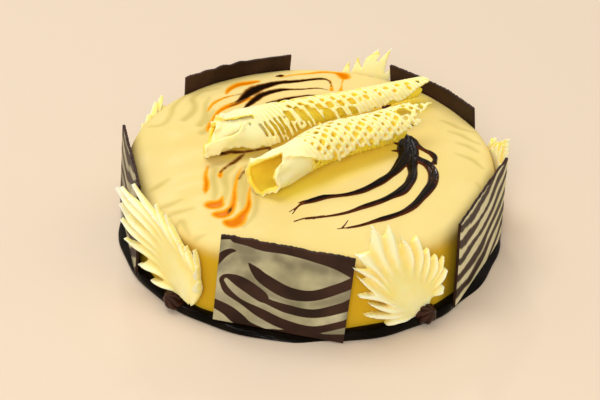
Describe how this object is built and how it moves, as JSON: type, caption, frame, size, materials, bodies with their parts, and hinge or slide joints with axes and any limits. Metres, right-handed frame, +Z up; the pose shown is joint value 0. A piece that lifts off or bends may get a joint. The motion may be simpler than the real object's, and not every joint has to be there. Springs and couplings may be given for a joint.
{
  "type": "ice cream cake",
  "caption": "Round glazed ice cream cake with a dark glaze ring at its foot, chocolate panels and ribbed white chocolate fans round its side, and lattice rolls and sauce on top.",
  "frame": {"origin": "middle of the cake's flat underside", "axes": "+Z up through the cake's axis, -Y towards the side with the wide upright panel, +X to the right of it"},
  "size_m": [0.2509, 0.2546, 0.0846],
  "materials": {
    "yellow_glaze": "smooth poured glaze, softly glossy",
    "dark_glaze": "dark chocolate glaze, very glossy",
    "chocolate_sauce": "thick chocolate sauce, wet gloss",
    "zebra_chocolate": "dark chocolate sheet with ivory bands on its outer face, satin",
    "white_chocolate": "ivory white chocolate, satin",
    "white_chocolate_lattice": "pale yellow white chocolate, satin",
    "cocoa_cream": "dark chocolate cream, soft sheen"
  },
  "bodies": {
    "root": {"cake_body": "yellow_glaze", "dark_foot_ring": "dark_glaze", "panel_front": "zebra_chocolate", "panel_right": "zebra_chocolate", "panel_back_right": "zebra_chocolate", "panel_back_left": "zebra_chocolate", "panel_left": "zebra_chocolate", "fan_front_right": "white_chocolate", "rosette_front_right": "cocoa_cream", "fan_right": "white_chocolate", "rosette_right": "cocoa_cream", "fan_back": "white_chocolate", "rosette_back": "cocoa_cream", "fan_back_left": "white_chocolate", "rosette_back_left": "cocoa_cream", "fan_front_left": "white_chocolate", "rosette_front_left": "cocoa_cream", "lattice_roll_rear": "white_chocolate_lattice", "lattice_roll_front": "white_chocolate_lattice"}
  },
  "joints": []
}
